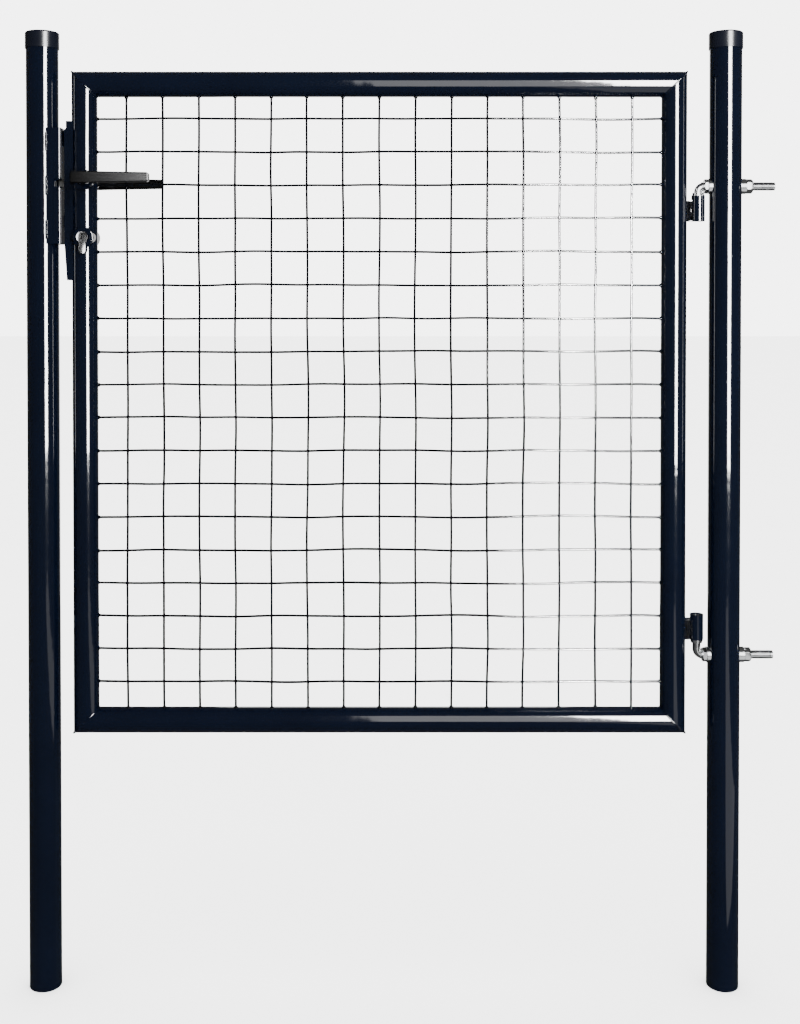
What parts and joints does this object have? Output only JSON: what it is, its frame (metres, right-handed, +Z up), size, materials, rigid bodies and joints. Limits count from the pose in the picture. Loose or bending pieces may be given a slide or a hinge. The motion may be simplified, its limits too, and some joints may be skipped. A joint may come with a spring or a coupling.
{
  "type": "garden gate",
  "caption": "Round-tube garden gate with a welded wire mesh panel, hung on hooked pins between round capped posts, with lever handles and a key-operated lock.",
  "frame": {"origin": "centre of the hinge post's foot", "axes": "+X from the latch post to the hinge post, +Y from front to back, +Z up; the leaf opens towards -Y"},
  "size_m": [1.1292, 0.132, 1.445],
  "materials": {
    "gate_paint": "gloss powder coat, near-black blue grey",
    "mesh_paint": "gloss powder coat over welded wire",
    "cap_plastic": "satin black moulding",
    "zinc_steel": "bright zinc plate",
    "lock_steel": "plain steel",
    "lever_metal": "satin dark grey",
    "cylinder_chrome": "satin nickel"
  },
  "bodies": {
    "posts": {"hinge_post": "gate_paint", "latch_post": "gate_paint", "hinge_post_cap": "cap_plastic", "latch_post_cap": "cap_plastic", "strike_bracket": "gate_paint", "upper_hinge_hook": "zinc_steel", "lower_hinge_hook": "zinc_steel", "thrust_washers": "zinc_steel", "inner_saddle_washers": "zinc_steel", "outer_saddle_washers": "zinc_steel", "inner_hook_nuts": "zinc_steel", "outer_hook_nuts": "zinc_steel"},
    "leaf": {"upper_barrel": "gate_paint", "lower_barrel": "gate_paint", "hinge_straps": "gate_paint", "top_rail": "gate_paint", "bottom_rail": "gate_paint", "hinge_stile": "gate_paint", "latch_stile": "gate_paint", "mesh_upright_wires": "mesh_paint", "mesh_level_wires": "mesh_paint", "lock_forend": "gate_paint", "lock_case": "lock_steel", "lock_cover": "lock_steel", "latch_spring": "lock_steel", "deadbolt_guide_pin": "lock_steel", "front_lever_rose": "gate_paint", "rear_lever_rose": "gate_paint", "front_key_rose": "gate_paint", "rear_key_rose": "gate_paint", "key_cylinder": "cylinder_chrome", "forend_screws": "zinc_steel", "cylinder_screw": "zinc_steel"},
    "lever": {"front_lever": "lever_metal", "rear_lever": "lever_metal", "spindle": "lock_steel", "follower": "lock_steel", "lever_grub_screws": "zinc_steel"},
    "latch": {"latch_bolt": "lock_steel"},
    "cylinder_core": {"front_plug": "cylinder_chrome", "rear_plug": "cylinder_chrome", "key_cam": "lock_steel"},
    "deadbolt": {"deadbolt": "lock_steel"}
  },
  "joints": [
    {"name": "gate_swing", "type": "hinge", "parent": "posts", "child": "leaf", "pos_m": [-0.041, 0, 0.8635], "axis": [0, 0, 1], "range_deg": [0, 105]},
    {"name": "lever_turn", "type": "hinge", "parent": "leaf", "child": "lever", "pos_m": [-0.964, 0, 1.222], "axis": [0, 1, 0], "range_deg": [0, 30], "stiffness_Nm_per_rad": 1.5, "springref_deg": -20.05},
    {"name": "latch_slide", "type": "slide", "parent": "leaf", "child": "latch", "axis": [1, 0, 0], "range_m": [0, 0.0095], "deforming": ["latch_spring"]},
    {"name": "key_turn", "type": "hinge", "parent": "leaf", "child": "cylinder_core", "pos_m": [-0.964, 0, 1.136], "axis": [0, 1, 0], "range_deg": [0, 360]},
    {"name": "deadbolt_slide", "type": "slide", "parent": "leaf", "child": "deadbolt", "axis": [-1, 0, 0], "range_m": [0, 0.014]}
  ],
  "couplings": [
    {"joint": "latch_slide", "follows": "lever_turn", "m_per_rad": 0.01814},
    {"joint": "deadbolt_slide", "follows": "key_turn", "m_per_rad": 0.002228}
  ]
}
